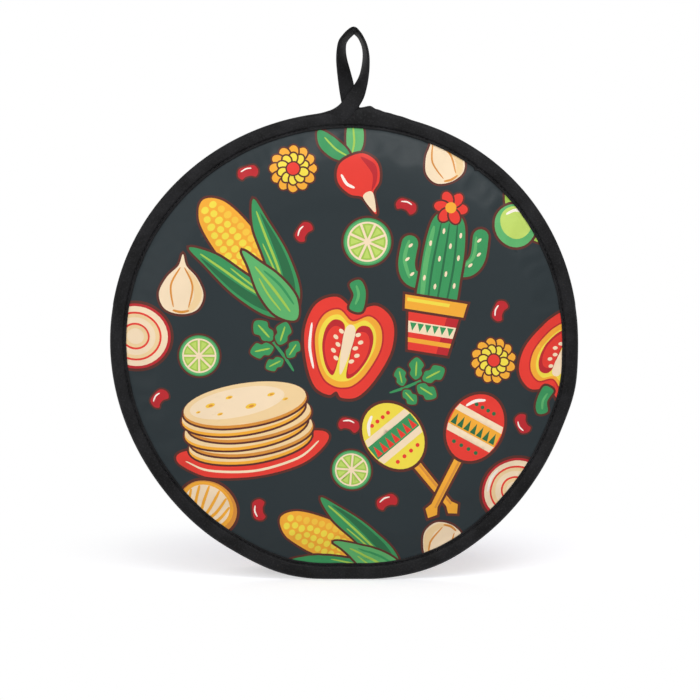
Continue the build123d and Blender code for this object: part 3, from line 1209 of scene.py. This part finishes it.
def loop_section(mesh, place):
    """The loop tape's section: a flat oval with one folded edge, and a row of stitching along the other."""
    half_width = 5.3 * MM
    half_thickness = 0.95 * MM
    groove = 0.28 * MM
    ring = bmesh.ops.create_circle(mesh, segments=28, radius=1, cap_ends=True)["verts"]
    for vertex in ring:
        t = atan2(vertex.co.y, vertex.co.x)
        x = abs(cos(t)) ** 0.35 * (1 if cos(t) > 0 else -1)
        y = abs(sin(t)) ** 0.7 * (1 if sin(t) > 0 else -1)
        row = max(0, 1 - abs(x - 0.68) / 0.12)
        vertex[place] = Vector((x * half_width, y * (half_thickness - groove * row) * (1 + 0.12 * x), 0))
    return list(ring)


def hanging_loop():
    """The hanging loop: the rim tape's tail, folded on itself, as a section carried along its path."""
    per = 6
    marks = loop_stations()
    path = []
    for i in range(len(marks) - 1):
        near = [marks[min(max(i + k, 0), len(marks) - 1)] for k in (-1, 0, 1, 2)]
        path += [between(*near, k / per) for k in range(per)]
    path.append(marks[-1])
    ring = bmesh.new()
    place = ring.verts.layers.float_vector.new("place")
    run = ring.verts.layers.float.new("run")
    end = loop_section(ring, place)
    top = ring.faces[:]
    way = 0.0
    for i, station in enumerate(path):
        spot, turn = station.xyz, station.w
        ahead = (path[min(i + 1, len(path) - 1)].xyz - path[max(i - 1, 0)].xyz).normalized()
        outward = Vector((-ahead.z, 0, ahead.x)).normalized()
        wide = outward * cos(turn) + Vector((0, 1, 0)) * sin(turn)
        wide = (wide - ahead * wide.dot(ahead)).normalized()
        thick = ahead.cross(wide)
        if i:
            way += (spot - path[i - 1].xyz).length
            further = bmesh.ops.extrude_face_region(ring, geom=top)["geom"]
            if i > 1:
                bmesh.ops.delete(ring, geom=top, context="FACES_ONLY")
            end = [v for v in further if isinstance(v, bmesh.types.BMVert)]
            top = [f for f in further if isinstance(f, bmesh.types.BMFace)]
        for vertex in end:
            local = vertex[place]
            wave = 0.25 * MM * noise.noise(Vector((way / (15 * MM), local.x / (9 * MM), 7)))
            vertex.co = spot + wide * local.x + thick * (local.y + wave)
            vertex[run] = way
    bmesh.ops.recalc_face_normals(ring, faces=ring.faces)
    tape_map = ring.loops.layers.uv.new("tape")
    for face in ring.faces:
        for loop in face.loops:
            loop[tape_map].uv = (loop.vert[run], loop.vert[place].x)
    return add_piece("loop_tape", ring, tape)


# ---------------------------------------------------------------- making the pouch

ease = eased_cloth()
printed = printed_sheet(print_design())
front_cover, front_wadding, front_lining = panel("front", -1)
rear_cover, rear_wadding, rear_lining = panel("rear", 1)

mouth_end = mouth_angle + mouth_tuck
rim_tape = bound_edge("rim_binding_tape", -pi, pi, rim_faces, 1.0, rise_by_loop)
mouth_tape = bound_edge("mouth_binding_tape", -mouth_end, mouth_end, mouth_faces, 5.0)
loop_tape = hanging_loop()

sunk = 0.68 * MM  # how far the stitching lies under the tape's flat face
short = 0.03  # the angle by which a row of stitching stops short of the mouth's ends
rows = topstitch_spots(-pi, pi, lambda a: front_tape + sunk, 11)
rows += topstitch_spots(mouth_angle + short, 2 * pi - mouth_angle - short, lambda a: rim_back(a) - sunk, 12)
rim_stitches = stitches("rim_topstitch", rows)
rows = topstitch_spots(short - mouth_angle, mouth_angle - short, lambda a: mouth_back - sunk, 13)
rows += topstitch_spots(short - mouth_angle, mouth_angle - short, lambda a: mouth_front + sunk, 14)
mouth_stitches = stitches("mouth_topstitch", rows)
bar_tacks = stitches("mouth_bar_tacks", bar_tack(-1) + bar_tack(1))

# ---------------------------------------------------------------- what rides where, and what stands for what

for piece, nodes in (
    (front_cover, ["front_cover"]),
    (front_wadding, ["front_wadding"]),
    (front_lining, ["front_lining"]),
    (rim_tape, ["rim_binding"]),
):
    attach(piece, "pouch")
    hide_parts(*nodes)
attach(rim_stitches, "pouch")
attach(bar_tacks, "pouch")

for piece, nodes in (
    (rear_cover, ["rear_cover", "flap_cover"]),
    (rear_wadding, ["rear_wadding", "flap_wadding"]),
    (rear_lining, ["rear_lining", "flap_lining"]),
    (mouth_tape, ["mouth_binding"]),
):
    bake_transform(piece)
    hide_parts(*nodes)
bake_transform(mouth_stitches)

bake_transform(loop_tape)
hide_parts("hanging_loop")


# ---------------------------------------------------------------- studio

floor_lift = 1.37  # how much brighter than white paper the floor looks to the camera
# painted shadow: near this place behind the foot the floor's lift falls to start, and it is full again by far
painted_contact_shadow = {"middle": (-10 * MM, 35 * MM), "stretch": 1.7, "near": 10 * MM, "far": 47 * MM, "start": 0.55}
paper_fade = {"middle": (12 * MM, 130 * MM), "stretch": 1, "near": 40 * MM, "far": 240 * MM, "start": 0}
lamp_aim = Vector((0, 0, 0.15))


def seen_directly(tree):
    """1 for rays from the camera, and for those that a shiny or clear surface sends on, otherwise 0."""
    path = node(tree, "ShaderNodeLightPath")
    total = node(tree, "ShaderNodeMath", {"operation": "ADD"})
    every = node(tree, "ShaderNodeMath", {"operation": "ADD", "use_clamp": True})
    tree.links.new(path.outputs["Is Camera Ray"], total.inputs[0])
    tree.links.new(path.outputs["Is Glossy Ray"], total.inputs[1])
    tree.links.new(total.outputs[0], every.inputs[0])
    tree.links.new(path.outputs["Is Transmission Ray"], every.inputs[1])
    return every


def spreading(tree, middle, stretch, near, far, start):
    """From start, within a distance near of a place on the floor, to 1 at far. Stretch widens it along X."""
    place = node(tree, "ShaderNodeTexCoord").outputs["Object"]
    spot = {"vector_type": "TEXTURE", "Location": (*middle, 0), "Scale": (stretch, 1, 1)}
    offset = node(tree, "ShaderNodeMapping", spot, Vector=place)
    away = node(tree, "ShaderNodeVectorMath", {"operation": "LENGTH"}, Vector=offset)
    limits = {"interpolation_type": "SMOOTHSTEP", "From Min": near, "From Max": far, "To Min": start}
    return node(tree, "ShaderNodeMapRange", limits, Value=away)


def floor_paper():
    """Matt white paper. The camera sees it brighter than it is, so that only the pouch's shadow is grey.

    A painted shadow darkens the paper close behind the foot, deeper than the lamps' own shadow there, and
    away from the pouch the paper passes into plain white.
    """
    material, tree, shader = new_material("matt white background paper")
    set_shader(shader, Base_Color=linear("#e8e6ea"), Roughness=0.9, Specular_IOR_Level=0.1)
    lifted = {"operation": "SCALE", 0: (floor_lift, floor_lift, floor_lift * 1.05)}
    # the camera's lift of the paper, darkened by the painted contact shadow behind the foot
    bright = node(tree, "ShaderNodeVectorMath", lifted, Scale=spreading(tree, **painted_contact_shadow))
    lit = node(tree, "ShaderNodeBsdfDiffuse", None, Color=bright)
    white = node(tree, "ShaderNodeEmission", {"Strength": 1.0})
    shown = node(tree, "ShaderNodeMixShader", None, Fac=spreading(tree, **paper_fade))
    tree.links.new(lit.outputs["BSDF"], shown.inputs[1])
    tree.links.new(white.outputs["Emission"], shown.inputs[2])
    chosen = node(tree, "ShaderNodeMixShader", None, Fac=seen_directly(tree))
    tree.links.new(shader.outputs["BSDF"], chosen.inputs[1])
    tree.links.new(shown.outputs["Shader"], chosen.inputs[2])
    feed(tree.nodes["Material Output"], Surface=chosen)
    return material


def floor():
    """A plain pale floor, wide enough to reach past every view."""
    ground = bmesh.new()
    bmesh.ops.create_grid(ground, x_segments=1, y_segments=1, size=6)
    mesh = bpy.data.meshes.new("floor")
    ground.to_mesh(mesh)
    ground.free()
    mesh.materials.append(floor_paper())
    made = bpy.data.objects.new("floor", mesh)
    bpy.context.scene.collection.objects.link(made)


def softbox(name, place, size, power):
    """A large soft lamp."""
    lamp = bpy.data.lights.new(name, "AREA")
    lamp.shape = "RECTANGLE"
    lamp.size, lamp.size_y = size
    lamp.energy = power
    made = bpy.data.objects.new(name, lamp)
    made.location = place
    made.rotation_euler = (lamp_aim - Vector(place)).to_track_quat("-Z", "Y").to_euler()
    bpy.context.scene.collection.objects.link(made)


def sky():
    """An even pale surround, plain white to the camera."""
    world = bpy.data.worlds.new("studio")
    bpy.context.scene.world = world
    world.use_nodes = True
    tree = world.node_tree
    back = tree.nodes["Background"]
    back.inputs["Color"].default_value = (1, 1, 1, 1)
    seen = {"To Min": 0.4, "To Max": 1.0}
    feed(back, Strength=node(tree, "ShaderNodeMapRange", seen, Value=seen_directly(tree)))


def camera():
    """A long lens, square on to the front and a little above the middle."""
    picture_width = 447.4 * MM  # what the frame takes in at the pouch
    distance = 2.0
    rise = radians(4)
    aim = Vector((3.1 * MM, 0, 147.3 * MM))
    lens = bpy.data.cameras.new("camera")
    lens.sensor_width = 36
    lens.lens = lens.sensor_width * distance / picture_width
    made = bpy.data.objects.new("camera", lens)
    made.location = aim + Vector((0, -cos(rise), sin(rise))) * distance
    made.rotation_euler = (aim - made.location).to_track_quat("-Z", "Y").to_euler()
    bpy.context.scene.collection.objects.link(made)
    bpy.context.scene.camera = made


floor()
sky()
softbox("key", (0.3, -1.25, 1.3), (1.0, 0.8), power=14.5)
softbox("fill", (-1.3, -1.3, 0.6), (1.2, 1.2), power=5)
softbox("rear", (-0.3, 1.5, 1.3), (1.2, 1.2), power=9)
camera()
bpy.context.scene.view_settings.view_transform = "Standard"
